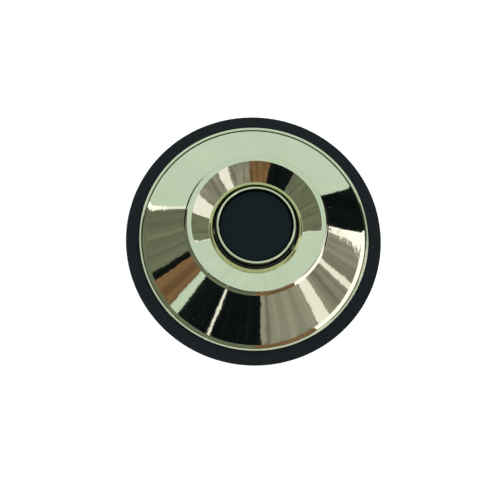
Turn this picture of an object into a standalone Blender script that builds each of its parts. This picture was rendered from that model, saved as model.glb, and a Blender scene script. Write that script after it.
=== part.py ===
"""A practice mute that plugs the bell of an alto saxophone.

The mute stands on its rear pad with its plated front face up. Its axis is Z and its
rear face is at height zero. Lengths are in metres.

A black bowl reaches into the bell and carries the foam ring that grips it. A plated
cover closes the bowl's front: a low cone with a raised ridge and a funnel that leads
down to the throat. A plated sleeve with a foam plug slides in the throat.
"""

import math

import bmesh
import bpy
from mathutils import Matrix

NAME = "saxophone_practice_mute"

# Clearance between neighbours, and how many flats make a circle
GAP = 0.0003
LARGE_STEPS = 48
SMALL_STEPS = 36
HOLE_STEPS = 12
FILLET_STEP = math.radians(32)

# Front cover: rim, shoulder and flank
RIM_RADIUS = 0.0498
RIM_LEDGE = 0.0009
RIM_THICKNESS = 0.0016
RIM_ROUND = 0.0006
RIM_FILLET = 0.0005
SHOULDER_ROUND = 0.022
SHOULDER_SLOPE = math.radians(58)
FLANK_SLOPE = math.radians(45)
COVER_WALL = 0.0018
RECESS_WALL = 0.0015

# Front cover: ridge, funnel and throat
RIDGE_RADIUS = 0.0297
RIDGE_HEIGHT = 0.0026
RIDGE_LEAN = 0.0011
RIDGE_LAND = 0.0020
RIDGE_ROUND = 0.0009
FUNNEL_SLOPE = math.radians(34)
LIP_ROUND = 0.0026
SOCKET_WALL = 0.0018
SOCKET_LEDGE = 0.0015

# Throat insert: sleeve, plug and the grille under it
SLEEVE_RADIUS = 0.0163
SLEEVE_WALL = 0.0010
SLEEVE_LENGTH = 0.022
SLEEVE_PROUD = 0.0026
SLEEVE_LEDGE = 0.0020
SLEEVE_LEDGE_THICKNESS = 0.0012
PLUG_RECESS = 0.0020
PLUG_GRILLE_THICKNESS = 0.0012
PLUG_GRILLE_HOLE = 0.0024
PLUG_GRILLE_CIRCLE = 0.0078
PLUG_GRILLE_HOLES = 6

# Bush in the running gap round the sleeve
BUSH_WALL = 0.0007
BUSH_RECESS = 0.0022

# Bowl: the depth that goes into the bell, the flange, the foam ring's seat and the rear
BOWL_DEPTH = 0.0404
BOWL_WALL = 0.0020
BOWL_ROUND = 0.012
FLANGE_WIDTH = 0.0064
FLANGE_THICKNESS = 0.0024
SEAT_TAPER = 0.0025
STOP_HEIGHT = 0.0012
STOP_WIDTH = 0.0015
REAR_TAPER = 0.0076
REAR_SWELL = 0.0058
REAR_ROUND = 0.0008
SKIRT_WALL = 0.0040
SHELF_WIDTH = 0.0064
SHELF_THICKNESS = 0.0018

# Foam ring in the bell and the adhesive band behind it
SEAL_LENGTH = 0.020
SEAL_OVERHANG = 0.0061
SEAL_TAPER = 0.0070
SEAL_FRONT_ROUND = 0.0008
SEAL_REAR_ROUND = 0.0025
TAPE_THICKNESS = 0.0005

# Gasket between cover and bowl
GASKET_WIDTH = 0.0010
GASKET_THICKNESS = 0.0008
GASKET_COVERAGE = 0.0004

# Rear grille and pad
GRILLE_THICKNESS = 0.0020
GRILLE_PORT = 0.0065
GRILLE_INNER_CIRCLE = 0.0105
GRILLE_INNER_HOLES = 8
GRILLE_OUTER_CIRCLE = 0.0158
GRILLE_OUTER_HOLES = 12
GRILLE_HOLE = 0.0017
PAD_THICKNESS = 0.0015
PAD_INSET = 0.0008

# Absorbing foam in the chamber
FOAM_FIT = 0.0005
DUCT_RADIUS = 0.0135

# Countersunk screws and the bosses that take them
SCREW_RADIUS = 0.0011
SCREW_HEAD_RADIUS = 0.0021
SCREW_HEAD_EDGE = 0.0003
SCREW_TIP = 0.0008
SCREW_SLOT_WIDTH = 0.0006
SCREW_SLOT_DEPTH = 0.0006
SHELL_SCREW_LENGTH = 0.006
SHELL_SCREWS = 6
GRILLE_SCREW_LENGTH = 0.008
GRILLE_SCREWS = 4
GRILLE_BOSS_RADIUS = 0.0021
GRILLE_BOSS_HEIGHT = 0.005

# Heights that follow from the sizes above
RIM_UNDERSIDE = BOWL_DEPTH
RIM_TOP = RIM_UNDERSIDE + RIM_THICKNESS
FLANGE_TOP = RIM_UNDERSIDE + FLANGE_THICKNESS
GASKET_TOP = FLANGE_TOP + GAP + GASKET_THICKNESS
RECESS_TOP = GASKET_TOP + GAP
SKIRT_END = PAD_THICKNESS + GAP
GRILLE_TOP = SKIRT_END + GRILLE_THICKNESS
SHELF_UNDERSIDE = GRILLE_TOP + GAP
SHELF_TOP = SHELF_UNDERSIDE + SHELF_THICKNESS
GRILLE_BOSS_TOP = SHELF_TOP + GRILLE_BOSS_HEIGHT
SEAL_FRONT = RIM_UNDERSIDE - GAP
SEAL_REAR = SEAL_FRONT - SEAL_LENGTH

# The shoulder is an arc that leaves the rim steeply and meets the straight flank
SHOULDER_RADIUS = RIM_RADIUS - RIM_LEDGE
SHOULDER_CENTRE = (
    SHOULDER_RADIUS - SHOULDER_ROUND * math.sin(SHOULDER_SLOPE),
    RIM_TOP - SHOULDER_ROUND * math.cos(SHOULDER_SLOPE),
)
FLANK_FOOT = (
    SHOULDER_CENTRE[0] + SHOULDER_ROUND * math.sin(FLANK_SLOPE),
    SHOULDER_CENTRE[1] + SHOULDER_ROUND * math.cos(FLANK_SLOPE),
)
RIDGE_FOOT = FLANK_FOOT[1] + (FLANK_FOOT[0] - RIDGE_RADIUS) * math.tan(FLANK_SLOPE)
RIDGE_TOP = RIDGE_FOOT + RIDGE_HEIGHT
FUNNEL_RADIUS = RIDGE_RADIUS - RIDGE_LEAN - RIDGE_LAND

# Radii and heights of the throat
BUSH_BORE = SLEEVE_RADIUS + GAP
THROAT_RADIUS = BUSH_BORE + BUSH_WALL + GAP
SOCKET_RADIUS = THROAT_RADIUS + SOCKET_WALL
THROAT_TOP = RIDGE_TOP - (FUNNEL_RADIUS - THROAT_RADIUS) * math.tan(FUNNEL_SLOPE)
SLEEVE_TOP = THROAT_TOP + SLEEVE_PROUD
SLEEVE_BASE = SLEEVE_TOP - SLEEVE_LENGTH
SLEEVE_BORE = SLEEVE_RADIUS - SLEEVE_WALL
SOCKET_LEDGE_TOP = SLEEVE_BASE - GAP
SOCKET_BASE = SOCKET_LEDGE_TOP - SOCKET_LEDGE
PLUG_GRILLE_BASE = SLEEVE_BASE + SLEEVE_LEDGE_THICKNESS + GAP
PLUG_BASE = PLUG_GRILLE_BASE + PLUG_GRILLE_THICKNESS + GAP
PLUG_TOP = SLEEVE_TOP - PLUG_RECESS

# Radii where cover, bowl, gasket and foam ring meet
RECESS_RADIUS = (
    SHOULDER_CENTRE[0]
    + math.sqrt(SHOULDER_ROUND**2 - (RECESS_TOP - SHOULDER_CENTRE[1]) ** 2)
    - RECESS_WALL
)
FLANGE_RADIUS = RECESS_RADIUS - GAP
SEAT_FRONT_RADIUS = FLANGE_RADIUS - FLANGE_WIDTH
SEAT_REAR_RADIUS = SEAT_FRONT_RADIUS - SEAT_TAPER
REAR_RADIUS = SEAT_REAR_RADIUS - REAR_TAPER
GASKET_RADIUS = RECESS_RADIUS - GAP
GASKET_BORE = GASKET_RADIUS - GASKET_WIDTH
SHELL_SCREW_CIRCLE = FLANGE_RADIUS - FLANGE_WIDTH / 2
SHELL_BOSS_RADIUS = GASKET_BORE - GAP - SHELL_SCREW_CIRCLE
SEAL_RADIUS = RIM_RADIUS + SEAL_OVERHANG
SKIRT_BORE = REAR_RADIUS - SKIRT_WALL
SHELF_BORE = SKIRT_BORE - SHELF_WIDTH
GRILLE_RADIUS = SKIRT_BORE - GAP
GRILLE_SCREW_CIRCLE = SKIRT_BORE - SHELF_WIDTH / 2

# Colours (red, green, blue), roughness and metallic value
FINISHES = {
    "pale_gold_plating": ((0.78, 0.76, 0.60), 0.06, 1.0),
    "black_moulding": ((0.022, 0.023, 0.025), 0.45, 0.0),
    "black_foam": ((0.018, 0.024, 0.028), 0.95, 0.0),
    "plug_foam": ((0.010, 0.014, 0.016), 0.95, 0.0),
    "absorber_foam": ((0.060, 0.062, 0.066), 1.0, 0.0),
    "black_rubber": ((0.015, 0.015, 0.016), 0.70, 0.0),
    "adhesive_tape": ((0.62, 0.60, 0.52), 0.50, 0.0),
    "zinc_steel": ((0.60, 0.61, 0.62), 0.30, 1.0),
}


def clear_scene():
    """Removes whatever the scene holds, and makes the two collections."""
    for obj in list(bpy.data.objects):
        bpy.data.objects.remove(obj, do_unlink=True)
    made = []
    for name in (NAME, "cutters"):
        old = bpy.data.collections.get(name)
        if old:
            bpy.data.collections.remove(old)
        new = bpy.data.collections.new(name)
        bpy.context.scene.collection.children.link(new)
        made.append(new)
    return made


PARTS, CUTTERS = clear_scene()


def finish(name):
    """The material of that name, made at its first use."""
    known = bpy.data.materials.get(name)
    if known:
        return known
    colour, roughness, metallic = FINISHES[name]
    made = bpy.data.materials.new(name)
    made.use_nodes = True
    shader = made.node_tree.nodes["Principled BSDF"]
    shader.inputs["Base Color"].default_value = (*colour, 1.0)
    shader.inputs["Roughness"].default_value = roughness
    shader.inputs["Metallic"].default_value = metallic
    made.diffuse_color = (*colour, 1.0)
    return made


def rounded(corners):
    """A closed outline from corners (radius, height) or (radius, height, fillet)."""
    outline = []
    for index, corner in enumerate(corners):
        fillet = corner[2] if len(corner) > 2 else 0.0
        before = corners[index - 1]
        after = corners[(index + 1) % len(corners)]
        outline += fillet_points(before, corner, after, fillet)
    return outline


def fillet_points(before, corner, after, radius):
    """The points of the arc that rounds one corner, or the corner itself."""
    back = (before[0] - corner[0], before[1] - corner[1])
    on = (after[0] - corner[0], after[1] - corner[1])
    back_length, on_length = math.hypot(*back), math.hypot(*on)
    back = (back[0] / back_length, back[1] / back_length)
    on = (on[0] / on_length, on[1] / on_length)
    turn = math.pi - math.acos(max(-1.0, min(1.0, back[0] * on[0] + back[1] * on[1])))
    if radius == 0.0 or turn < math.radians(1):
        return [corner[:2]]
    reach = min(radius * math.tan(turn / 2), 0.45 * back_length, 0.45 * on_length)
    radius = reach / math.tan(turn / 2)
    half = (back[0] + on[0], back[1] + on[1])
    half_length = math.hypot(*half)
    out = radius / math.cos(turn / 2)
    centre = (corner[0] + half[0] / half_length * out, corner[1] + half[1] / half_length * out)
    start = (corner[0] + back[0] * reach - centre[0], corner[1] + back[1] * reach - centre[1])
    side = math.copysign(1.0, back[1] * on[0] - back[0] * on[1])
    count = max(1, math.ceil(turn / FILLET_STEP))
    points = []
    for step in range(count + 1):
        angle = side * turn * step / count
        points.append(
            (
                centre[0] + start[0] * math.cos(angle) - start[1] * math.sin(angle),
                centre[1] + start[0] * math.sin(angle) + start[1] * math.cos(angle),
            )
        )
    return points


def as_mesh(obj):
    """Puts the shape that an object's modifiers make into its mesh, shaded smooth."""
    bpy.context.view_layer.update()
    evaluated = obj.evaluated_get(bpy.context.evaluated_depsgraph_get())
    mesh = bpy.data.meshes.new_from_object(evaluated)
    obj.modifiers.clear()
    obj.data = mesh
    mesh.shade_smooth()
    mesh.set_sharp_from_angle(angle=math.radians(30))
    return obj


def turned(name, outline, material=None, steps=LARGE_STEPS):
    """A body turned round Z. The outline runs down its outer side and up its inner side.

    It closes on itself, or on the axis where its first and last points have radius 0.
    """
    mesh = bpy.data.meshes.new(name)
    count = len(outline)
    on_axis = outline[0][0] == 0.0 and outline[-1][0] == 0.0
    edges = [(i, i + 1) for i in range(count - 1)]
    if not on_axis:
        edges.append((count - 1, 0))
    mesh.from_pydata([(r, 0.0, z) for r, z in outline], edges, [])
    obj = bpy.data.objects.new(name, mesh)
    (PARTS if material else CUTTERS).objects.link(obj)
    turn = obj.modifiers.new("Turn", "SCREW")
    turn.steps = steps
    turn.render_steps = steps
    turn.use_merge_vertices = True
    turn.merge_threshold = 0.00001
    as_mesh(obj)
    if material:
        obj.data.materials.append(finish(material))
    else:
        hide(obj)
    return obj


def hide(obj):
    """Marks a cutter or guide, which isn't part of the mute."""
    obj.hide_render = True
    obj.display_type = "WIRE"


def combine(target, other, operation):
    """Cuts another body from the target, joins it on, or keeps only what they share."""
    cut = target.modifiers.new(f"{operation.title()} {other.name}", "BOOLEAN")
    cut.operation = operation
    cut.solver = "EXACT"
    cut.object = other


def on_circle(radius, count, start=0.0):
    """Evenly spaced places (x, y) on a circle."""
    angles = [start + 2 * math.pi * i / count for i in range(count)]
    return [(radius * math.cos(a), radius * math.sin(a)) for a in angles]


def cylinders(name, places, radius, low, high, steps=HOLE_STEPS):
    """Upright cylinders as one cutter or guide."""
    bm = bmesh.new()
    for x, y in places:
        bmesh.ops.create_cone(
            bm,
            cap_ends=True,
            segments=steps,
            radius1=radius,
            radius2=radius,
            depth=high - low,
            matrix=Matrix.Translation((x, y, (low + high) / 2)),
        )
    mesh = bpy.data.meshes.new(name)
    bm.to_mesh(mesh)
    bm.free()
    obj = bpy.data.objects.new(name, mesh)
    CUTTERS.objects.link(obj)
    hide(obj)
    return obj


def copies(name, original, places, height):
    """One cutter of copies of a body, each standing at its own place."""
    bm = bmesh.new()
    for x, y in places:
        first = len(bm.verts)
        bm.from_mesh(original.data)
        bm.verts.ensure_lookup_table()
        bmesh.ops.translate(bm, vec=(x, y, height), verts=bm.verts[first:])
    mesh = bpy.data.meshes.new(name)
    bm.to_mesh(mesh)
    bm.free()
    obj = bpy.data.objects.new(name, mesh)
    CUTTERS.objects.link(obj)
    hide(obj)
    return obj


def moved_inward(path, distance):
    """An open path moved by a distance to the right of its direction, with mitred corners."""
    normals = []
    for a, b in zip(path, path[1:]):
        length = math.hypot(b[0] - a[0], b[1] - a[1])
        normals.append(((b[1] - a[1]) / length, -(b[0] - a[0]) / length))
    moved = []
    for index, point in enumerate(path):
        first = normals[max(index - 1, 0)]
        second = normals[min(index, len(normals) - 1)]
        stretch = distance / (1 + first[0] * second[0] + first[1] * second[1])
        moved.append(
            (
                point[0] + (first[0] + second[0]) * stretch,
                point[1] + (first[1] + second[1]) * stretch,
            )
        )
    return moved


def under_flank(radius, depth):
    """Height of the surface that lies a depth under the flank, at a radius."""
    rise = (RIDGE_RADIUS - radius) * math.tan(FLANK_SLOPE)
    return RIDGE_FOOT + rise - depth / math.cos(FLANK_SLOPE)


def under_funnel(radius, depth):
    """Height of the surface that lies a depth under the funnel, at a radius."""
    fall = (FUNNEL_RADIUS - radius) * math.tan(FUNNEL_SLOPE)
    return RIDGE_TOP - fall - depth / math.cos(FUNNEL_SLOPE)


def under_ridge(depth):
    """The point where the surfaces a depth under the flank and the funnel meet."""
    level = under_flank(0.0, depth) - under_funnel(0.0, depth)
    radius = level / (math.tan(FLANK_SLOPE) + math.tan(FUNNEL_SLOPE))
    return (radius, under_flank(radius, depth))


def shoulder():
    """The shoulder's arc, from the flank down to the rim."""
    turn = SHOULDER_SLOPE - FLANK_SLOPE
    count = max(2, math.ceil(turn / math.radians(6)))
    points = []
    for step in range(count + 1):
        slope = FLANK_SLOPE + turn * step / count
        radius = SHOULDER_CENTRE[0] + SHOULDER_ROUND * math.sin(slope)
        points.append((radius, SHOULDER_CENTRE[1] + SHOULDER_ROUND * math.cos(slope)))
    return points


def bowl_outside():
    """The bowl's outer wall behind the foam ring's stop, from the stop to the rear."""
    stop = SEAL_REAR - GAP - STOP_WIDTH
    swell = SKIRT_END + REAR_SWELL
    return [
        (SEAT_REAR_RADIUS, stop),
        (SEAT_REAR_RADIUS - REAR_TAPER / 4, swell, BOWL_ROUND),
        (REAR_RADIUS, SKIRT_END, REAR_ROUND),
    ]


def bowl_inside(depth):
    """The surface a depth inside the bowl's wall, from the shelf up to the flange."""
    wall = [(SEAT_FRONT_RADIUS, FLANGE_TOP), (SEAT_REAR_RADIUS, SEAL_REAR)]
    wall += [corner[:2] for corner in bowl_outside()[1:]]
    return moved_inward(wall, depth)


def at_height(path, height):
    """The radius of a path of (radius, height) points where it passes a height."""
    for high, low in zip(path, path[1:]):
        if low[1] <= height <= high[1]:
            share = (height - low[1]) / (high[1] - low[1])
            return low[0] + (high[0] - low[0]) * share
    return path[-1][0]


def front_cover():
    """The plated shell: rim, flank, ridge, funnel and the socket that the sleeve slides in."""
    ridge_edge = RIDGE_RADIUS - RIDGE_LEAN
    recess_corner = GASKET_BORE - GASKET_COVERAGE
    *flank, rim_corner = shoulder()
    corners = [
        (FUNNEL_RADIUS, RIDGE_TOP, RIDGE_ROUND),
        (ridge_edge, RIDGE_TOP, RIDGE_ROUND),
        (RIDGE_RADIUS, RIDGE_FOOT),
        *flank,
        (*rim_corner, RIM_FILLET),
        (RIM_RADIUS, RIM_TOP, RIM_ROUND),
        (RIM_RADIUS, RIM_UNDERSIDE, RIM_ROUND),
        (RECESS_RADIUS, RIM_UNDERSIDE),
        (RECESS_RADIUS, RECESS_TOP),
        (recess_corner, RECESS_TOP),
        (recess_corner, under_flank(recess_corner, COVER_WALL)),
        under_ridge(COVER_WALL),
        (SOCKET_RADIUS, under_funnel(SOCKET_RADIUS, COVER_WALL)),
        (SOCKET_RADIUS, SOCKET_BASE),
        (SLEEVE_RADIUS - SLEEVE_LEDGE, SOCKET_BASE),
        (SLEEVE_RADIUS - SLEEVE_LEDGE, SOCKET_LEDGE_TOP),
        (THROAT_RADIUS, SOCKET_LEDGE_TOP),
        (THROAT_RADIUS, THROAT_TOP, LIP_ROUND),
    ]
    cover = turned("front_cover", rounded(corners), "pale_gold_plating")
    places = on_circle(SHELL_SCREW_CIRCLE, SHELL_SCREWS)
    bosses = cylinders("shell_bosses", places, SHELL_BOSS_RADIUS, FLANGE_TOP + GAP, RIDGE_TOP)
    combine(bosses, boss_limit(), "INTERSECT")
    combine(cover, bosses, "UNION")
    return cover


def boss_limit():
    """The space under the middle of the flank's wall, where the bosses end."""
    outer = SHELL_SCREW_CIRCLE + FLANGE_WIDTH
    inner = SHELL_SCREW_CIRCLE - FLANGE_WIDTH
    middle = COVER_WALL / 2
    outline = [
        (inner, under_flank(inner, middle)),
        (outer, under_flank(outer, middle)),
        (outer, RIM_UNDERSIDE),
        (inner, RIM_UNDERSIDE),
    ]
    if outline[1][1] <= RIM_UNDERSIDE + GAP:
        slope = math.tan(FLANK_SLOPE)
        reach = outer - (RIM_UNDERSIDE + GAP - outline[1][1]) / slope
        outline[1] = (reach, under_flank(reach, middle))
        outline[2] = (reach, RIM_UNDERSIDE)
    return turned("boss_limit", outline)


def rear_bowl():
    """The black bowl: flange, foam seat with its stop, tapered body, shelf and skirt."""
    stop_top = SEAL_REAR - GAP
    inside = bowl_inside(BOWL_WALL)
    shelf_wall = at_height(inside, SHELF_TOP)
    corners = [
        (FLANGE_RADIUS, FLANGE_TOP),
        (FLANGE_RADIUS, RIM_UNDERSIDE),
        (SEAT_FRONT_RADIUS, RIM_UNDERSIDE),
        (SEAT_REAR_RADIUS, stop_top),
        (SEAT_REAR_RADIUS + STOP_HEIGHT, stop_top, STOP_HEIGHT / 4),
        (SEAT_REAR_RADIUS + STOP_HEIGHT, stop_top - STOP_WIDTH, STOP_HEIGHT / 4),
        *bowl_outside(),
        (SKIRT_BORE, SKIRT_END),
        (SKIRT_BORE, SHELF_UNDERSIDE),
        (SHELF_BORE, SHELF_UNDERSIDE),
        (SHELF_BORE, SHELF_TOP),
        (shelf_wall, SHELF_TOP),
        *[(*point, BOWL_ROUND) for point in reversed(inside) if SHELF_TOP < point[1] < FLANGE_TOP],
        (at_height(inside, FLANGE_TOP), FLANGE_TOP),
    ]
    bowl = turned("rear_bowl", rounded(corners), "black_moulding")
    places = on_circle(GRILLE_SCREW_CIRCLE, GRILLE_SCREWS, math.pi / GRILLE_SCREWS)
    overlap = SHELF_THICKNESS / 2
    bosses = cylinders(
        "grille_bosses", places, GRILLE_BOSS_RADIUS, SHELF_TOP - overlap, GRILLE_BOSS_TOP
    )
    combine(bowl, bosses, "UNION")
    return bowl


def seam_gasket():
    """The flat ring squeezed between the bowl's flange and the cover's shoulder."""
    outline = [
        (GASKET_RADIUS, GASKET_TOP),
        (GASKET_RADIUS, FLANGE_TOP + GAP),
        (GASKET_BORE, FLANGE_TOP + GAP),
        (GASKET_BORE, GASKET_TOP),
    ]
    return turned("seam_gasket", outline, "black_rubber")


def bell_seal():
    """The tapered foam ring that grips the bell, and the adhesive band in its bore."""
    tape_bore = GAP
    tape_back = tape_bore + TAPE_THICKNESS
    foam_bore = tape_back + GAP
    seal = [
        (SEAL_RADIUS, SEAL_FRONT, SEAL_FRONT_ROUND),
        (SEAL_RADIUS - SEAL_TAPER, SEAL_REAR, SEAL_REAR_ROUND),
        (SEAT_REAR_RADIUS + foam_bore, SEAL_REAR),
        (SEAT_FRONT_RADIUS + foam_bore, SEAL_FRONT),
    ]
    tape = [
        (SEAT_FRONT_RADIUS + tape_back, SEAL_FRONT),
        (SEAT_REAR_RADIUS + tape_back, SEAL_REAR),
        (SEAT_REAR_RADIUS + tape_bore, SEAL_REAR),
        (SEAT_FRONT_RADIUS + tape_bore, SEAL_FRONT),
    ]
    turned("bell_seal", rounded(seal), "black_foam")
    turned("seal_bond_tape", tape, "adhesive_tape")


def throat_bush():
    """The soft ring in the socket that holds the sleeve where it is put."""
    top = THROAT_TOP - BUSH_RECESS
    outline = [
        (BUSH_BORE + BUSH_WALL, top),
        (BUSH_BORE + BUSH_WALL, SLEEVE_BASE),
        (BUSH_BORE, SLEEVE_BASE),
        (BUSH_BORE, top),
    ]
    return turned("throat_bush", outline, "black_rubber", SMALL_STEPS)


def throat_sleeve():
    """The plated tube with a rounded rim and an inner ledge at its base."""
    corners = [
        (SLEEVE_RADIUS, SLEEVE_TOP, SLEEVE_WALL / 2),
        (SLEEVE_RADIUS, SLEEVE_BASE),
        (SLEEVE_BORE - SLEEVE_LEDGE, SLEEVE_BASE),
        (SLEEVE_BORE - SLEEVE_LEDGE, SLEEVE_BASE + SLEEVE_LEDGE_THICKNESS),
        (SLEEVE_BORE, SLEEVE_BASE + SLEEVE_LEDGE_THICKNESS),
        (SLEEVE_BORE, SLEEVE_TOP, SLEEVE_WALL / 2),
    ]
    return turned("throat_sleeve", rounded(corners), "pale_gold_plating", SMALL_STEPS)


def throat_plug():
    """The foam plug that fills the sleeve above its grille."""
    radius = SLEEVE_BORE - GAP
    corners = [(0.0, PLUG_TOP), (radius, PLUG_TOP), (radius, PLUG_BASE), (0.0, PLUG_BASE)]
    return turned("throat_plug", corners, "plug_foam", SMALL_STEPS)


def plug_grille():
    """The perforated disc on the sleeve's ledge that carries the plug."""
    radius = SLEEVE_BORE - GAP
    top = PLUG_GRILLE_BASE + PLUG_GRILLE_THICKNESS
    corners = [
        (radius, top),
        (radius, PLUG_GRILLE_BASE),
        (PLUG_GRILLE_HOLE, PLUG_GRILLE_BASE),
        (PLUG_GRILLE_HOLE, top),
    ]
    grille = turned("plug_grille", corners, "black_moulding", SMALL_STEPS)
    places = on_circle(PLUG_GRILLE_CIRCLE, PLUG_GRILLE_HOLES)
    low, high = PLUG_GRILLE_BASE - GAP, top + GAP
    holes = cylinders("plug_grille_holes", places, PLUG_GRILLE_HOLE, low, high)
    combine(grille, holes, "DIFFERENCE")
    return grille


def front_absorber():
    """The foam ring that fills the cone between the socket and the cover's bosses."""
    bore = SOCKET_RADIUS + FOAM_FIT
    outer = SHELL_SCREW_CIRCLE - SHELL_BOSS_RADIUS - FOAM_FIT
    depth = COVER_WALL + FOAM_FIT
    base = FLANGE_TOP + GAP
    outline = [
        under_ridge(depth),
        (outer, under_flank(outer, depth)),
        (outer, base),
        (bore, base),
        (bore, under_funnel(bore, depth)),
    ]
    return turned("front_absorber", outline, "absorber_foam", SMALL_STEPS)


def rear_absorber():
    """The foam ring that lines the bowl round the air duct and the socket's end."""
    base = GRILLE_BOSS_TOP + GAP
    inside = bowl_inside(BOWL_WALL + FOAM_FIT)
    step = SOCKET_BASE - GAP
    corners = [
        (at_height(inside, FLANGE_TOP), FLANGE_TOP),
        *[(*point, BOWL_ROUND) for point in inside if base < point[1] < FLANGE_TOP],
        (at_height(inside, base), base),
        (DUCT_RADIUS, base),
        (DUCT_RADIUS, step),
        (SOCKET_RADIUS + FOAM_FIT, step),
        (SOCKET_RADIUS + FOAM_FIT, FLANGE_TOP),
    ]
    return turned("rear_absorber", rounded(corners), "absorber_foam", SMALL_STEPS)


def rear_grille():
    """The perforated plate that closes the bowl, with a port on its axis."""
    corners = [
        (GRILLE_RADIUS, GRILLE_TOP),
        (GRILLE_RADIUS, SKIRT_END),
        (GRILLE_PORT, SKIRT_END),
        (GRILLE_PORT, GRILLE_TOP),
    ]
    grille = turned("rear_grille", corners, "black_moulding", SMALL_STEPS)
    places = on_circle(GRILLE_INNER_CIRCLE, GRILLE_INNER_HOLES, math.pi / GRILLE_INNER_HOLES)
    places += on_circle(GRILLE_OUTER_CIRCLE, GRILLE_OUTER_HOLES, math.pi / GRILLE_OUTER_HOLES)
    low, high = SKIRT_END - GAP, GRILLE_TOP + GAP
    holes = cylinders("grille_holes", places, GRILLE_HOLE, low, high)
    combine(grille, holes, "DIFFERENCE")
    return grille


def rear_pad():
    """The soft ring on the bowl's rear edge, which the mute stands on."""
    outer = REAR_RADIUS - PAD_INSET
    bore = SKIRT_BORE + GAP
    outline = [(outer, PAD_THICKNESS), (outer, 0.0), (bore, 0.0), (bore, PAD_THICKNESS)]
    return turned("rear_pad", outline, "black_rubber")


def screw_outline(length, clearance):
    """Half a countersunk screw, tip up and head down, grown by a clearance all round."""
    head = SCREW_HEAD_RADIUS + clearance
    shank = SCREW_RADIUS + clearance
    edge = SCREW_HEAD_EDGE
    below = -clearance
    return [
        (0.0, length + clearance),
        (shank / 2, length + clearance),
        (shank, length - SCREW_TIP + clearance),
        (shank, edge + head - shank),
        (head, edge),
        (head, below),
        (0.0, below),
    ]


def countersunk_screws(name, length, places, height, plates):
    """Equal screws, heads down, with the holes that they need cut in the plates."""
    screw = turned(f"{name}_pattern", screw_outline(length, 0.0), None, HOLE_STEPS)
    slot = bmesh.new()
    bmesh.ops.create_cube(slot, size=1.0)
    span = 2 * SCREW_HEAD_RADIUS + GAP
    size = (span, SCREW_SLOT_WIDTH, 2 * SCREW_SLOT_DEPTH)
    bmesh.ops.scale(slot, vec=size, verts=slot.verts)
    slot_mesh = bpy.data.meshes.new(f"{name}_slot")
    slot.to_mesh(slot_mesh)
    slot.free()
    slot_cutter = bpy.data.objects.new(f"{name}_slot", slot_mesh)
    CUTTERS.objects.link(slot_cutter)
    hide(slot_cutter)
    combine(screw, slot_cutter, "DIFFERENCE")
    as_mesh(screw)
    screw.data.materials.append(finish("zinc_steel"))
    for number, (x, y) in enumerate(places, 1):
        placed = bpy.data.objects.new(f"{name}_{number}", screw.data)
        placed.location = (x, y, height)
        PARTS.objects.link(placed)
    hole = turned(f"{name}_clearance", screw_outline(length, GAP), None, HOLE_STEPS)
    holes = copies(f"{name}_holes", hole, places, height)
    for plate in plates:
        combine(plate, holes, "DIFFERENCE")


def throat_insert(pieces):
    """Hangs the sliding pieces on one empty, on the axis that they slide along."""
    slide = bpy.data.objects.new("throat_insert", None)
    slide.location = (0.0, 0.0, SLEEVE_BASE)
    PARTS.objects.link(slide)
    for piece in pieces:
        piece.parent = slide
        piece.matrix_parent_inverse = Matrix.Translation(slide.location).inverted()


def build():
    """Makes every piece of the mute."""
    cover = front_cover()
    bowl = rear_bowl()
    grille = rear_grille()
    seam_gasket()
    bell_seal()
    throat_bush()
    front_absorber()
    rear_absorber()
    rear_pad()
    throat_insert([throat_sleeve(), plug_grille(), throat_plug()])
    shell_places = on_circle(SHELL_SCREW_CIRCLE, SHELL_SCREWS)
    countersunk_screws(
        "shell_screw", SHELL_SCREW_LENGTH, shell_places, RIM_UNDERSIDE, (cover, bowl)
    )
    grille_places = on_circle(GRILLE_SCREW_CIRCLE, GRILLE_SCREWS, math.pi / GRILLE_SCREWS)
    countersunk_screws(
        "grille_screw", GRILLE_SCREW_LENGTH, grille_places, SKIRT_END, (grille, bowl)
    )


build()
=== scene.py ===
"""Looks of a saxophone practice mute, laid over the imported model. Lengths are in metres."""

import math

import bmesh
import bpy
from mathutils import Matrix, Vector

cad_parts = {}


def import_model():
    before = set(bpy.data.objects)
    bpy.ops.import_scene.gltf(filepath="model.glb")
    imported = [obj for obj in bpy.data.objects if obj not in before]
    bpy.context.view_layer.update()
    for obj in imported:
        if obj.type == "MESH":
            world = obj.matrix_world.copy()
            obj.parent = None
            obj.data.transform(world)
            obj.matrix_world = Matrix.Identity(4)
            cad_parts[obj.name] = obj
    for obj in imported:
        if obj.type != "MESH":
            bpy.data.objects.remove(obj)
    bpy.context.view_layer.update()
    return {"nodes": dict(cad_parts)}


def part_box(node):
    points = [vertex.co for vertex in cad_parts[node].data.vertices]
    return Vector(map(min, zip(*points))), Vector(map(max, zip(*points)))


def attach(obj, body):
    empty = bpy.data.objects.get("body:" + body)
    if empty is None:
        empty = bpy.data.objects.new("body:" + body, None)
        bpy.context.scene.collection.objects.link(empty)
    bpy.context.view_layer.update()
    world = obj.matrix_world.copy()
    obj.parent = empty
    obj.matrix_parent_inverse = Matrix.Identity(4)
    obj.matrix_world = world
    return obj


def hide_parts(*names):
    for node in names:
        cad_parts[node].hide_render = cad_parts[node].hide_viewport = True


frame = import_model()

HOUSING = "housing"
INSERT = "throat_insert"

# Sizes that the CAD nodes give
SEAL_LOW, SEAL_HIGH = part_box("bell_seal")
BOWL_LOW, BOWL_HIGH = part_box("rear_bowl")
SLEEVE_LOW, SLEEVE_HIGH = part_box("throat_sleeve")
PLUG_LOW, PLUG_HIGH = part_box("throat_plug")
BUSH_LOW, BUSH_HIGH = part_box("throat_bush")
GRILLE_LOW, GRILLE_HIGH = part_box("rear_grille")
PAD_LOW, PAD_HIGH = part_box("rear_pad")

# What touches in the real mute keeps this gap
GAP = 0.0003

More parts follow.
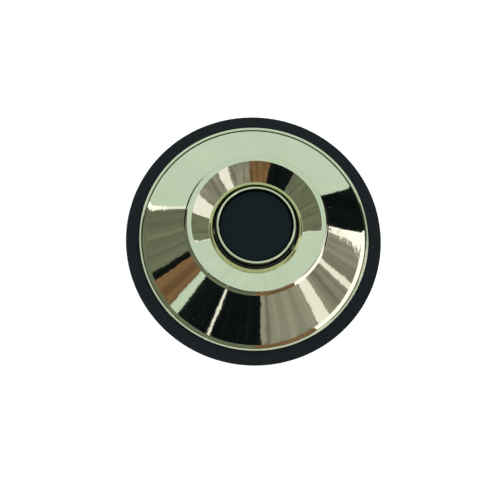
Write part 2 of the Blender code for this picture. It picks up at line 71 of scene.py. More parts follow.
# Bowl
FLANGE_WIDTH = 0.0064
SEAT_TAPER = 0.0025
REAR_TAPER = 0.0076
REAR_SWELL = 0.0019
BOWL_WALL = 0.0020
SKIRT_WALL = 0.0040
SHELF_WIDTH = 0.0064
SHELF_THICKNESS = 0.0018
STOP_HEIGHT = 0.0012
STOP_WIDTH = 0.0015
SEAT_FRONT = BOWL_HIGH[0] - FLANGE_WIDTH
SEAT_REAR = SEAT_FRONT - SEAT_TAPER
REAR_RADIUS = SEAT_REAR - REAR_TAPER
SKIRT_BORE = REAR_RADIUS - SKIRT_WALL
SHELF_BORE = SKIRT_BORE - SHELF_WIDTH
SHELF_LOW = GRILLE_HIGH[2] + GAP
SHELF_HIGH = SHELF_LOW + SHELF_THICKNESS

# Grille: the port, and the circles of holes round it (radius, count)
GRILLE_PORT = 0.0065
GRILLE_HOLE = 0.0017
GRILLE_CIRCLES = ((0.0105, 8), (0.0158, 12))

# Foam ring and chamber foam
SEAL_RADIUS = 0.0559
SEAL_TAPER = 0.0070
SEAL_SWELL = 0.0004
SEAL_FIT = 0.0011
DUCT_RADIUS = 0.0135
FOAM_FIT = 0.0005

# Screws and what holds them
SCREW_HEAD = 0.0021
SCREW_SHANK = 0.0011
SCREW_HEAD_EDGE = 0.0003
SHELL_SCREW_LENGTH = 0.006
GRILLE_SCREW_LENGTH = 0.008
SHELL_BOSS = 0.0019
GRILLE_BOSS = 0.0021
GRILLE_BOSS_HEIGHT = 0.005

# Round bodies have this many flats
FINE_STEPS = 256
PLAIN_STEPS = 128
HOLE_STEPS = 40
FILLET_STEP = math.radians(9)

# Cover
RIM_RADIUS = 0.0498
RIM_TOP = 0.0420
RIM_UNDERSIDE = 0.0404
RIM_LEDGE = 0.0009
RIM_ROUND = 0.0006
RIM_FILLET = 0.0005
SHOULDER_ROUND = 0.022
SHOULDER_SLOPE = math.radians(58)
FLANK_SLOPE = math.radians(45)
RIDGE_RADIUS = 0.0297
RIDGE_HEIGHT = 0.0026
RIDGE_LEAN = 0.0011
RIDGE_LAND = 0.0020
RIDGE_ROUND = 0.0009
FOOT_ROUND = 0.0003
FUNNEL_SLOPE = math.radians(34)
LIP_ROUND = 0.0026
WALL = 0.0018
THROAT_RADIUS = 0.0176
BUSH_WALL = 0.0007
SOCKET_RADIUS = 0.0194
SOCKET_BASE = SLEEVE_LOW[2] - 0.0018
SOCKET_LEDGE = SLEEVE_LOW[2] - GAP
SOCKET_LEDGE_BORE = 0.0143
RECESS_RADIUS = BOWL_HIGH[0] + GAP
RECESS_TOP = 0.0442
RECESS_BORE = RECESS_RADIUS - 0.0017

SHOULDER_CENTRE = (
    RIM_RADIUS - RIM_LEDGE - SHOULDER_ROUND * math.sin(SHOULDER_SLOPE),
    RIM_TOP - SHOULDER_ROUND * math.cos(SHOULDER_SLOPE),
)
FLANK_FOOT = (
    SHOULDER_CENTRE[0] + SHOULDER_ROUND * math.sin(FLANK_SLOPE),
    SHOULDER_CENTRE[1] + SHOULDER_ROUND * math.cos(FLANK_SLOPE),
)
RIDGE_FOOT = FLANK_FOOT[1] + (FLANK_FOOT[0] - RIDGE_RADIUS) * math.tan(FLANK_SLOPE)
RIDGE_TOP = RIDGE_FOOT + RIDGE_HEIGHT
FUNNEL_RADIUS = RIDGE_RADIUS - RIDGE_LEAN - RIDGE_LAND
THROAT_TOP = RIDGE_TOP - (FUNNEL_RADIUS - THROAT_RADIUS) * math.tan(FUNNEL_SLOPE)


# Shapes


def fillet(before, corner, after, radius):
    """The arc that rounds one corner of a profile."""
    back = Vector((before[0] - corner[0], before[1] - corner[1]))
    on = Vector((after[0] - corner[0], after[1] - corner[1]))
    lengths = back.length, on.length
    back.normalize()
    on.normalize()
    turn = math.pi - back.angle(on)
    if radius == 0.0 or turn < math.radians(1):
        return [tuple(corner[:2])]
    reach = min(radius * math.tan(turn / 2), 0.48 * lengths[0], 0.48 * lengths[1])
    radius = reach / math.tan(turn / 2)
    corner = Vector(corner[:2])
    centre = corner + (back + on).normalized() * (radius / math.cos(turn / 2))
    start = corner + back * reach - centre
    side = math.copysign(1.0, back.y * on.x - back.x * on.y)
    count = max(2, math.ceil(turn / FILLET_STEP))
    arc = []
    for step in range(count + 1):
        angle = side * turn * step / count
        arc.append(
            (
                centre.x + start.x * math.cos(angle) - start.y * math.sin(angle),
                centre.y + start.x * math.sin(angle) + start.y * math.cos(angle),
            )
        )
    return arc


def rounded(corners):
    """A closed profile from corners (radius, height) or (radius, height, fillet)."""
    profile = []
    for index, corner in enumerate(corners):
        size = corner[2] if len(corner) > 2 else 0.0
        after = corners[(index + 1) % len(corners)]
        profile += fillet(corners[index - 1], corner, after, size)
    return profile


def link(obj):
    bpy.context.scene.collection.objects.link(obj)
    return obj


def smooth(obj, angle=35):
    """Shades an object smooth, with sharp edges where it turns sharply."""
    obj.data.shade_smooth()
    obj.data.set_sharp_from_angle(angle=math.radians(angle))
    return obj


def turned(name, profile, material, steps=PLAIN_STEPS, angle=35):
    """A body turned round Z from a closed profile that runs down its outer side."""
    bm = bmesh.new()
    rings = []
    for radius, height in profile:
        if radius < 1e-7:
            rings.append([bm.verts.new((0.0, 0.0, height))] * steps)
            continue
        ring = []
        for step in range(steps):
            turn = 2 * math.pi * step / steps
            ring.append(bm.verts.new((radius * math.cos(turn), radius * math.sin(turn), height)))
        rings.append(ring)
    count = len(rings)
    for index in range(count):
        upper, lower = rings[index], rings[(index + 1) % count]
        if upper[0] is upper[1] and lower[0] is lower[1]:
            continue
        for step in range(steps):
            after = (step + 1) % steps
            corners = [upper[step], lower[step], lower[after], upper[after]]
            kept = [v for i, v in enumerate(corners) if v is not corners[i - 1]]
            bm.faces.new(kept)
    bmesh.ops.recalc_face_normals(bm, faces=bm.faces)
    mesh = bpy.data.meshes.new(name)
    bm.to_mesh(mesh)
    bm.free()
    obj = link(bpy.data.objects.new(name, mesh))
    mesh.materials.append(material)
    return smooth(obj, angle)


def applied(obj):
    """Puts what an object's modifiers make into its mesh."""
    bpy.context.view_layer.update()
    evaluated = obj.evaluated_get(bpy.context.evaluated_depsgraph_get())
    mesh = bpy.data.meshes.new_from_object(evaluated)
    obj.modifiers.clear()
    obj.data = mesh
    return obj


def combine(obj, others, operation):
    """Cuts other bodies from an object, or joins them to it, and removes them."""
    for other in others:
        tool = obj.modifiers.new("Combine", "BOOLEAN")
        tool.operation = operation
        tool.solver = "EXACT"
        tool.object = other
    applied(obj)
    for other in others:
        bpy.data.objects.remove(other, do_unlink=True)
    return smooth(obj)


def at_places(name, pattern, places):
    """One object of copies of an upright body, one at each place, in place of the pattern."""
    bm = bmesh.new()
    for x, y, _ in places:
        mesh = pattern.data.copy()
        mesh.transform(Matrix.Translation((x, y, 0.0)))
        bm.from_mesh(mesh)
        bpy.data.meshes.remove(mesh)
    mesh = bpy.data.meshes.new(name)
    bm.to_mesh(mesh)
    bm.free()
    mesh.materials.append(pattern.data.materials[0])
    bpy.data.objects.remove(pattern, do_unlink=True)
    return link(bpy.data.objects.new(name, mesh))


def boss_pattern(radius, low, high, material):
    """An upright cylinder on the axis."""
    corners = [(0.0, high), (radius, high), (radius, low), (0.0, low)]
    return turned("boss", corners, material, HOLE_STEPS)


def screw_holes(places, low, length, material):
    """Cutters for the holes of countersunk screws whose heads look down."""
    head, shank = SCREW_HEAD + GAP, SCREW_SHANK + GAP
    sink = low + SCREW_HEAD_EDGE
    corners = [
        (0.0, low + length + GAP),
        (shank, low + length + GAP),
        (shank, sink + head - shank),
        (head, sink),
        (head, low - SCREW_HEAD_EDGE),
        (0.0, low - SCREW_HEAD_EDGE),
    ]
    return at_places("screw_holes", turned("hole", corners, material, HOLE_STEPS), places)


def drills(name, holes, low, high, material):
    """Upright cutters: one object of cylinders, each (x, y, radius)."""
    bm = bmesh.new()
    for x, y, radius in holes:
        bmesh.ops.create_cone(
            bm,
            cap_ends=True,
            segments=HOLE_STEPS,
            radius1=radius,
            radius2=radius,
            depth=high - low,
            matrix=Matrix.Translation((x, y, (low + high) / 2)),
        )
    mesh = bpy.data.meshes.new(name)
    bm.to_mesh(mesh)
    bm.free()
    mesh.materials.append(material)
    return link(bpy.data.objects.new(name, mesh))


def on_circle(radius, count, hole, start=0.0):
    places = []
    for index in range(count):
        turn = start + 2 * math.pi * index / count
        places.append((radius * math.cos(turn), radius * math.sin(turn), hole))
    return places


def screw_places(name, count):
    """Where a ring of equal screws stands, from its first one."""
    low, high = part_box(f"{name}_1")
    x, y = (low[0] + high[0]) / 2, (low[1] + high[1]) / 2
    return on_circle(math.hypot(x, y), count, 0.0, math.atan2(y, x))


def piece(obj, body, slot, *nodes):
    """Says which body a piece rides on and hides the CAD nodes that it stands for; the slot
    argument is not used.
    """
    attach(obj, body)
    if nodes:
        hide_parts(*nodes)
    return obj


# Materials


class Surface:
    """A Principled material, and short ways to add nodes to it."""

    def __init__(self, name, colour, roughness, metallic=0.0):
        self.material = bpy.data.materials.new(name)
        self.material.use_nodes = True
        self.tree = self.material.node_tree
        self.shader = self.tree.nodes["Principled BSDF"]
        self.shader.inputs["Base Color"].default_value = (*colour, 1.0)
        self.shader.inputs["Roughness"].default_value = roughness
        self.shader.inputs["Metallic"].default_value = metallic
        self.coordinates = self.add("ShaderNodeTexCoord")

    def add(self, kind, **values):
        node = self.tree.nodes.new(kind)
        for key, value in values.items():
            setattr(node, key, value)
        return node

    def join(self, output, target):
        self.tree.links.new(output, target)

    def noise(self, scale, detail=2.0, roughness=0.5):
        node = self.add("ShaderNodeTexNoise")
        node.inputs["Scale"].default_value = scale
        node.inputs["Detail"].default_value = detail
        node.inputs["Roughness"].default_value = roughness
        self.join(self.coordinates.outputs["Object"], node.inputs["Vector"])
        return node.outputs["Fac"]

    def ramp(self, factor, *stops):
        """A colour ramp of stops (position, colour)."""
        node = self.add("ShaderNodeValToRGB")
        elements = node.color_ramp.elements
        while len(elements) < len(stops):
            elements.new(0.5)
        for element, (position, colour) in zip(elements, stops):
            element.position = position
            element.color = (*colour, 1.0)
        self.join(factor, node.inputs["Fac"])
        return node.outputs["Color"]

    def span(self, factor, low, high):
        """A factor from 0 to 1 brought to low to high."""
        node = self.add("ShaderNodeMapRange")
        node.inputs["To Min"].default_value = low
        node.inputs["To Max"].default_value = high
        self.join(factor, node.inputs["Value"])
        return node.outputs["Result"]

    def bump(self, height, depth, strength=1.0, normal=None):
        node = self.add("ShaderNodeBump")
        node.inputs["Distance"].default_value = depth
        node.inputs["Strength"].default_value = strength
        self.join(height, node.inputs["Height"])
        if normal:
            self.join(normal, node.inputs["Normal"])
        return node.outputs["Normal"]

    def set(self, socket, output):
        self.join(output, self.shader.inputs[socket])


def plating():
    """Mirror plating in pale champagne gold over moulded plastic, very slightly uneven."""
    surface = Surface("pale_gold_plating", (0.80, 0.79, 0.62), 0.05, 1.0)
    haze = surface.noise(90.0, 3.0)
    tint = surface.noise(28.0, 2.0)
    surface.set(
        "Base Color",
        surface.ramp(tint, (0.35, (0.80, 0.785, 0.60)), (0.65, (0.83, 0.81, 0.65))),
    )
    wave = surface.noise(160.0, 3.0)
    surface.set("Normal", surface.bump(wave, 0.0002, 0.25))
    cells = surface.add("ShaderNodeTexVoronoi")
    cells.inputs["Scale"].default_value = 330.0
    surface.join(surface.coordinates.outputs["Object"], cells.inputs["Vector"])
    dust = surface.ramp(cells.outputs["Distance"], (0.035, (1, 1, 1)), (0.06, (0, 0, 0)))
    rough = surface.add("ShaderNodeMath", operation="MULTIPLY_ADD")
    surface.join(dust, rough.inputs[0])
    rough.inputs[1].default_value = 0.5
    surface.join(surface.span(haze, 0.035, 0.075), rough.inputs[2])
    surface.set("Roughness", rough.outputs[0])
    return surface.material


def foam(name, dark, light, cell=1400.0, depth=0.00018, shine=0.15, sheen=0.05):
    """Closed-cell foam: fine grain, a few larger pores and pale specks of dust."""
    surface = Surface(name, dark, 0.85)
    surface.shader.inputs["Specular IOR Level"].default_value = shine
    surface.shader.inputs["Sheen Weight"].default_value = sheen
    grain = surface.noise(cell, 4.0, 0.7)
    patches = surface.noise(60.0, 3.0)
    mix = surface.add("ShaderNodeMix", data_type="RGBA")
    surface.join(surface.span(patches, 0.25, 0.75), mix.inputs["Factor"])
    grey = surface.ramp(grain, (0.35, dark), (0.72, light))
    surface.join(grey, mix.inputs["A"])
    surface.join(
        surface.ramp(grain, (0.3, dark), (0.8, tuple(0.8 * c for c in light))), mix.inputs["B"]
    )
    specks = surface.add("ShaderNodeTexVoronoi")
    specks.inputs["Scale"].default_value = cell * 0.25
    surface.join(surface.coordinates.outputs["Object"], specks.inputs["Vector"])
    dust = surface.ramp(specks.outputs["Distance"], (0.0, (1, 1, 1)), (0.09, (0, 0, 0)))
    dusty = surface.add("ShaderNodeMix", data_type="RGBA")
    surface.join(dust, dusty.inputs["Factor"])
    surface.join(mix.outputs["Result"], dusty.inputs["A"])
    dusty.inputs["B"].default_value = (*(3.2 * c for c in light), 1.0)
    surface.set("Base Color", dusty.outputs["Result"])
    pores = surface.add("ShaderNodeTexVoronoi")
    pores.inputs["Scale"].default_value = cell * 0.7
    surface.join(surface.coordinates.outputs["Object"], pores.inputs["Vector"])
    normal = surface.bump(pores.outputs["Distance"], depth, 0.5)
    surface.set("Normal", surface.bump(grain, depth, 0.6, normal))
    return surface.material


def moulding(name="black_moulding"):
    """Matt black moulded plastic with a spark-eroded texture."""
    surface = Surface(name, (0.020, 0.021, 0.023), 0.42)
    grain = surface.noise(1500.0, 3.0, 0.6)
    cloud = surface.noise(40.0, 2.0)
    surface.set("Roughness", surface.span(cloud, 0.36, 0.50))
    surface.set(
        "Base Color",
        surface.ramp(grain, (0.3, (0.017, 0.018, 0.020)), (0.7, (0.026, 0.027, 0.029))),
    )
    surface.set("Normal", surface.bump(grain, 0.00006, 0.5))
    return surface.material


def elastomer():
    """Soft black rubber with a faint bloom."""
    surface = Surface("black_rubber", (0.014, 0.014, 0.015), 0.65)
    bloom = surface.noise(120.0, 4.0)
    surface.set(
        "Base Color",
        surface.ramp(bloom, (0.35, (0.012, 0.012, 0.013)), (0.75, (0.024, 0.024, 0.025))),
    )
    surface.set("Roughness", surface.span(bloom, 0.55, 0.75))
    surface.set("Normal", surface.bump(surface.noise(1800.0), 0.00004, 0.4))
    return surface.material


def zinc():
    """Bright zinc plating with turning marks."""
    surface = Surface("zinc_steel", (0.58, 0.59, 0.61), 0.3, 1.0)
    marks = surface.noise(2600.0, 2.0)
    surface.set("Roughness", surface.span(marks, 0.22, 0.40))
    surface.set("Normal", surface.bump(marks, 0.00003, 0.4))
    return surface.material


def tape():
    """Pale foam tape with a fine matt face."""
    surface = Surface("adhesive_tape", (0.60, 0.58, 0.50), 0.6)
    weave = surface.noise(900.0, 3.0)
    surface.set(
        "Base Color", surface.ramp(weave, (0.3, (0.55, 0.53, 0.45)), (0.7, (0.66, 0.64, 0.56)))
    )
    surface.set("Normal", surface.bump(weave, 0.00005, 0.4))
    return surface.material


GOLD = plating()
SEAL_FOAM = foam("black_foam", (0.0022, 0.0036, 0.0046), (0.0080, 0.0115, 0.0140))
PLUG_FOAM = foam(
    "plug_foam", (0.0028, 0.0066, 0.0080), (0.0040, 0.0086, 0.0100), 2600.0, 0.00003, 0.08, 0.0
)
CELL_FOAM = foam("absorber_foam", (0.030, 0.031, 0.034), (0.085, 0.088, 0.094), 700.0, 0.0006)
BLACK = moulding()
RUBBER = elastomer()
ZINC = zinc()
TAPE = tape()


# Pieces


def arc_down():
    """The shoulder's arc from the flank down to the rim."""
    points = []
    count = 12
    for step in range(count + 1):
        slope = FLANK_SLOPE + (SHOULDER_SLOPE - FLANK_SLOPE) * step / count
        points.append(
            (
                SHOULDER_CENTRE[0] + SHOULDER_ROUND * math.sin(slope),
                SHOULDER_CENTRE[1] + SHOULDER_ROUND * math.cos(slope),
            )
        )
    return points


def cover():
    """The plated cover as one shell, with the inside that the sleeve's bore shows."""
    inner = RIDGE_FOOT - WALL / math.cos(FLANK_SLOPE)
    funnel_inner = RIDGE_TOP - (FUNNEL_RADIUS - SOCKET_RADIUS) * math.tan(FUNNEL_SLOPE)
    funnel_inner -= WALL / math.cos(FUNNEL_SLOPE)
    corners = [
        (FUNNEL_RADIUS, RIDGE_TOP, RIDGE_ROUND),
        (RIDGE_RADIUS - RIDGE_LEAN, RIDGE_TOP, RIDGE_ROUND),
        (RIDGE_RADIUS, RIDGE_FOOT, FOOT_ROUND),
        *arc_down()[:-1],
        (*arc_down()[-1], RIM_FILLET),
        (RIM_RADIUS, RIM_TOP, RIM_ROUND),
        (RIM_RADIUS, RIM_UNDERSIDE, RIM_ROUND),
        (RECESS_RADIUS, RIM_UNDERSIDE),
        (RECESS_RADIUS, RECESS_TOP),
        (RECESS_BORE, RECESS_TOP),
        (RECESS_BORE, inner - (RECESS_BORE - RIDGE_RADIUS) * math.tan(FLANK_SLOPE)),
        (RIDGE_RADIUS - 0.003, inner + 0.003 * math.tan(FLANK_SLOPE)),
        (SOCKET_RADIUS, funnel_inner),
        (SOCKET_RADIUS, SOCKET_BASE),
        (SOCKET_LEDGE_BORE, SOCKET_BASE),
        (SOCKET_LEDGE_BORE, SOCKET_LEDGE),
        (THROAT_RADIUS, SOCKET_LEDGE),
        (THROAT_RADIUS, THROAT_TOP, LIP_ROUND),
    ]
    shell = turned("cover_shell", rounded(corners), GOLD, FINE_STEPS, 50)
    boss = boss_pattern(SHELL_BOSS, BOWL_HIGH[2] + GAP, RIDGE_TOP, GOLD)
    bosses = at_places("shell_bosses", boss, SHELL_SCREW_PLACES)
    middle = RIDGE_FOOT - WALL / 2 / math.cos(FLANK_SLOPE)
    for vertex in bosses.data.vertices:
        if vertex.co.z > middle:
            out = math.hypot(vertex.co.x, vertex.co.y) - RIDGE_RADIUS
            vertex.co.z = middle - out * math.tan(FLANK_SLOPE)
    combine(shell, [bosses], "UNION")
    holes = screw_holes(SHELL_SCREW_PLACES, RIM_UNDERSIDE, SHELL_SCREW_LENGTH, GOLD)
    combine(shell, [holes], "DIFFERENCE")
    smooth(shell, 50)
    return piece(shell, HOUSING, "pale_gold_plating", "front_cover")


def sleeve():
    """The sliding tube with its full-round rim."""
    outer, top, base = SLEEVE_HIGH[0], SLEEVE_HIGH[2], SLEEVE_LOW[2]
    wall, ledge, plate = 0.0010, 0.0020, 0.0012
    corners = [
        (outer, top, wall / 2),
        (outer, base, 0.0002),
        (outer - wall - ledge, base),
        (outer - wall - ledge, base + plate),
        (outer - wall, base + plate),
        (outer - wall, top, wall / 2),
    ]
    tube = turned("sleeve_tube", rounded(corners), GOLD, FINE_STEPS, 50)
    return piece(tube, INSERT, "pale_gold_plating", "throat_sleeve")


def plug():
    """The foam plug, its face very slightly dished and its edge rounded."""
    radius, top, base = PLUG_HIGH[0], PLUG_HIGH[2], PLUG_LOW[2]
    face = []
    for step in range(7):
        share = step / 6
        face.append((share * (radius - 0.0012), top - 0.00025 * (1 - share * share)))
    corners = face + [(radius, top, 0.0007), (radius, base), (0.0, base)]
    core = turned("plug_foam_core", rounded(corners), PLUG_FOAM)
    piece(core, INSERT, "plug_foam", "throat_plug")
    return core


def seal():
    """The foam ring, with moulded edges and sides that belly out a little."""
    front, rear = SEAL_HIGH[2], SEAL_LOW[2]
    side = []
    count = 10
    for step in range(1, count):
        share = step / count
        swell = SEAL_SWELL * math.sin(math.pi * share)
        radius = SEAL_RADIUS - SEAL_TAPER * share + swell
        side.append((radius, front - (front - rear) * share))
    corners = [
        (SEAL_RADIUS, front, 0.0008),
        *side,
        (SEAL_RADIUS - SEAL_TAPER, rear, 0.0022),
        (SEAT_REAR + SEAL_FIT, rear, 0.0003),
        (SEAT_FRONT + SEAL_FIT, front, 0.0003),
    ]
    ring = turned("seal_ring", rounded(corners), SEAL_FOAM, FINE_STEPS)
    piece(ring, HOUSING, "black_foam", "bell_seal")
    return ring


def bowl():
    """The moulded bowl: flange, foam seat and stop, rounded body, skirt and inner shelf."""
    flange, top = BOWL_HIGH[0], BOWL_HIGH[2]
    skirt = BOWL_LOW[2]
    stop = SEAL_LOW[2] - GAP
    swell = SEAT_REAR - REAR_SWELL
    corners = [
        (flange, top, 0.0003),
        (flange, RIM_UNDERSIDE, 0.0002),
        (SEAT_FRONT, RIM_UNDERSIDE),
        (SEAT_REAR, stop),
        (SEAT_REAR + STOP_HEIGHT, stop, 0.0004),
        (SEAT_REAR + STOP_HEIGHT, stop - STOP_WIDTH, 0.0004),
        (SEAT_REAR, stop - STOP_WIDTH, 0.0003),
        (swell, skirt + 0.0058, 0.012),
        (REAR_RADIUS, skirt, 0.0008),
        (SKIRT_BORE, skirt, 0.0003),
        (SKIRT_BORE, SHELF_LOW),
        (SHELF_BORE, SHELF_LOW, 0.0002),
        (SHELF_BORE, SHELF_HIGH, 0.0002),
        (REAR_RADIUS + 0.0022, SHELF_HIGH),
        (swell - BOWL_WALL, skirt + 0.0072, 0.010),
        (SEAT_REAR - BOWL_WALL, stop),
        (SEAT_FRONT - BOWL_WALL, top),
    ]
    body = turned("bowl_shell", rounded(corners), BLACK, FINE_STEPS)
    middle = SHELF_LOW + SHELF_THICKNESS / 2
    boss = boss_pattern(GRILLE_BOSS, middle, SHELF_HIGH + GRILLE_BOSS_HEIGHT, BLACK)
    combine(body, [at_places("grille_bosses", boss, GRILLE_SCREW_PLACES)], "UNION")
    holes = [
        screw_holes(SHELL_SCREW_PLACES, RIM_UNDERSIDE, SHELL_SCREW_LENGTH, BLACK),
        screw_holes(GRILLE_SCREW_PLACES, skirt, GRILLE_SCREW_LENGTH, BLACK),
    ]
    combine(body, holes, "DIFFERENCE")
    piece(body, HOUSING, "black_moulding", "rear_bowl")


def grille():
    """The perforated rear plate with softened edges and countersunk holes."""
    radius, low, high = GRILLE_HIGH[0], GRILLE_LOW[2], GRILLE_HIGH[2]
    corners = [
        (radius, high, 0.0002),
        (radius, low, 0.0004),
        (GRILLE_PORT, low, 0.0004),
        (GRILLE_PORT, high, 0.0002),
    ]
    plate = turned("grille_plate", rounded(corners), BLACK, PLAIN_STEPS)
    holes = []
    for circle, count in GRILLE_CIRCLES:
        holes += on_circle(circle, count, GRILLE_HOLE, math.pi / count)
    cutters = [
        drills("grille_holes", holes, low - 0.001, high + 0.001, BLACK),
        screw_holes(GRILLE_SCREW_PLACES, low, GRILLE_SCREW_LENGTH, BLACK),
    ]
    combine(plate, cutters, "DIFFERENCE")
    piece(plate, HOUSING, "black_moulding", "rear_grille")


def slot(low, turn):
    """A cutter for one bar of a cross slot."""
    bm = bmesh.new()
    matrix = (
        Matrix.Translation((0.0, 0.0, low))
        @ Matrix.Rotation(turn, 4, "Z")
        @ Matrix.Diagonal((0.0026, 0.0005, 0.0016, 1.0))
    )
    bmesh.ops.create_cube(bm, size=1.0, matrix=matrix)
    mesh = bpy.data.meshes.new("slot")
    bm.to_mesh(mesh)
    bm.free()
    mesh.materials.append(ZINC)
    return link(bpy.data.objects.new("slot", mesh))


def grille_screws():
    """Countersunk screws with a cross slot."""
    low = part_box("grille_screw_1")[0][2]
    for number, (x, y, _) in enumerate(GRILLE_SCREW_PLACES, 1):
        corners = [
            (0.0, low + GRILLE_SCREW_LENGTH),
            (0.0006, low + GRILLE_SCREW_LENGTH),
            (SCREW_SHANK, low + GRILLE_SCREW_LENGTH - 0.0008),
            (SCREW_SHANK, low + SCREW_HEAD_EDGE + SCREW_HEAD - SCREW_SHANK),
            (SCREW_HEAD, low + SCREW_HEAD_EDGE),
            (SCREW_HEAD, low, 0.0001),
            (0.0, low),
        ]
        screw = turned(f"grille_screw_{number}_fine", rounded(corners), ZINC, 48)
        turn = math.radians(17 * number)
        combine(screw, [slot(low, turn), slot(low, turn + math.pi / 2)], "DIFFERENCE")
        screw.location = (x, y, 0.0)
        piece(screw, HOUSING, "zinc_steel", f"grille_screw_{number}")


def pad():
    """The soft ring that the mute stands on, its edges rounded."""
    outer, low, high = PAD_HIGH[0], PAD_LOW[2], PAD_HIGH[2]
    bore = SKIRT_BORE + GAP
    corners = [
        (outer, high, 0.0002),
        (outer, low, 0.0005),
        (bore, low, 0.0005),
        (bore, high, 0.0002),
    ]
    ring = turned("pad_ring", rounded(corners), RUBBER, FINE_STEPS)
    piece(ring, HOUSING, "black_rubber", "rear_pad")


def bush():
    """The soft ring in the running gap, its top edge rounded."""
    outer, low, high = BUSH_HIGH[0], BUSH_LOW[2], BUSH_HIGH[2]
    corners = [
        (outer, high, 0.0003),
        (outer, low),
        (outer - BUSH_WALL, low),
        (outer - BUSH_WALL, high, 0.0003),
    ]
    ring = turned("bush_ring", rounded(corners), RUBBER, PLAIN_STEPS)
    piece(ring, HOUSING, "black_rubber", "throat_bush")


def absorbers():
    """The foam rings in the chamber, which show through the grille and the port."""
    inner = SOCKET_RADIUS + FOAM_FIT
    low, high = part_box("rear_absorber")
    floor_radius = SEAT_REAR - REAR_SWELL - BOWL_WALL - 0.0017
    corners = [
        (high[0], high[2], 0.0005),
        (floor_radius + 0.0015, low[2] + 0.004, 0.002),
        (floor_radius - 0.001, low[2], 0.0008),
        (DUCT_RADIUS, low[2], 0.0010),
        (DUCT_RADIUS, SOCKET_BASE - GAP),
        (inner, SOCKET_BASE - GAP),
        (inner, high[2]),
    ]
    ring = turned("chamber_foam", rounded(corners), CELL_FOAM)
    piece(ring, HOUSING, "absorber_foam", "rear_absorber")

    low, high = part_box("front_absorber")
    corners = [
        (RIDGE_RADIUS - 0.0035, high[2], 0.0005),
        (high[0], low[2] + 0.0052, 0.0005),
        (high[0], low[2], 0.0005),
        (inner, low[2]),
        (inner, high[2] - 0.0070),
    ]
    ring = turned("cone_foam", rounded(corners), CELL_FOAM)
    piece(ring, HOUSING, "absorber_foam", "front_absorber")


SHELL_SCREW_PLACES = screw_places("shell_screw", 6)
GRILLE_SCREW_PLACES = screw_places("grille_screw", 4)

cover()
sleeve()
plug()
seal()
bowl()
grille()
grille_screws()
pad()
bush()
absorbers()

for node, material in (
    ("plug_grille", BLACK),
    ("seam_gasket", RUBBER),
    ("seal_bond_tape", TAPE),
    *((f"shell_screw_{n}", ZINC) for n in range(1, 7)),
):
    for place in frame["nodes"][node].material_slots:
        place.material = material


# Floor, light and camera


def srgb(*levels):
    """Linear colour from 8-bit screen levels."""
    out = []
    for level in levels:
        share = level / 255
        out.append(share / 12.92 if share <= 0.04045 else ((share + 0.055) / 1.055) ** 2.4)
    return tuple(out)


def background_rays(tree):
    """1 for the rays that see the white background: from the camera, in metal and through glass."""
    path = tree.nodes.new("ShaderNodeLightPath")
    most = path.outputs["Is Camera Ray"]
    for name in ("Is Glossy Ray", "Is Transmission Ray"):
        node = tree.nodes.new("ShaderNodeMath")
        node.operation = "MAXIMUM"
        tree.links.new(most, node.inputs[0])
        tree.links.new(path.outputs[name], node.inputs[1])
        most = node.outputs["Value"]
    return most


def floor():
    """A plain round table that looks white and keeps the mute's soft shadow."""
    material = bpy.data.materials.new("floor")
    material.use_nodes = True
    tree = material.node_tree
    shader = tree.nodes["Principled BSDF"]
    shader.inputs["Base Color"].default_value = (0.50, 0.50, 0.50, 1.0)
    shader.inputs["Roughness"].default_value = 0.9
    shader.inputs["Specular IOR Level"].default_value = 0.0
    lift = tree.nodes.new("ShaderNodeEmission")
    lift.inputs["Strength"].default_value = FLOOR_LIFT
    white = tree.nodes.new("ShaderNodeAddShader")
    tree.links.new(shader.outputs["BSDF"], white.inputs[0])
    tree.links.new(lift.outputs["Emission"], white.inputs[1])
    seen = tree.nodes.new("ShaderNodeMixShader")
    tree.links.new(background_rays(tree), seen.inputs["Fac"])
    tree.links.new(shader.outputs["BSDF"], seen.inputs[1])
    tree.links.new(white.outputs["Shader"], seen.inputs[2])
    tree.links.new(seen.outputs["Shader"], tree.nodes["Material Output"].inputs["Surface"])
    bm = bmesh.new()
    ring = on_circle(FLOOR_RADIUS, 96, 0.0)
    bm.faces.new([bm.verts.new((x, y, FLOOR_LEVEL)) for x, y, _ in ring])
    mesh = bpy.data.meshes.new("floor")
    bm.to_mesh(mesh)
    bm.free()
    mesh.materials.append(material)
    link(bpy.data.objects.new("floor", mesh))


def card_material(name, colour, cloudiness):
    """A card of one plain colour, cloudy as painted board and cloth are."""
    material = bpy.data.materials.new(name)
    material.use_nodes = True
    tree = material.node_tree
    tree.nodes.remove(tree.nodes["Principled BSDF"])
    place = tree.nodes.new("ShaderNodeTexCoord")
    upright = tree.nodes.new("ShaderNodeMapping")
    upright.inputs["Scale"].default_value = CARD_GRAIN
    cloud = tree.nodes.new("ShaderNodeTexNoise")
    cloud.inputs["Scale"].default_value = 1.0
    cloud.inputs["Detail"].default_value = 3.0
    level = tree.nodes.new("ShaderNodeMapRange")
    level.inputs["From Min"].default_value = 0.3
    level.inputs["From Max"].default_value = 0.7
    level.inputs["To Min"].default_value = 1.0 - cloudiness
    level.inputs["To Max"].default_value = 1.0 + cloudiness
    glow = tree.nodes.new("ShaderNodeEmission")
    glow.inputs["Color"].default_value = (*colour, 1.0)
    tree.links.new(place.outputs["Object"], upright.inputs["Vector"])
    tree.links.new(upright.outputs["Vector"], cloud.inputs["Vector"])
    tree.links.new(cloud.outputs["Fac"], level.inputs["Value"])
    tree.links.new(level.outputs["Result"], glow.inputs["Strength"])
    tree.links.new(glow.outputs["Emission"], tree.nodes["Material Output"].inputs["Surface"])
    return material


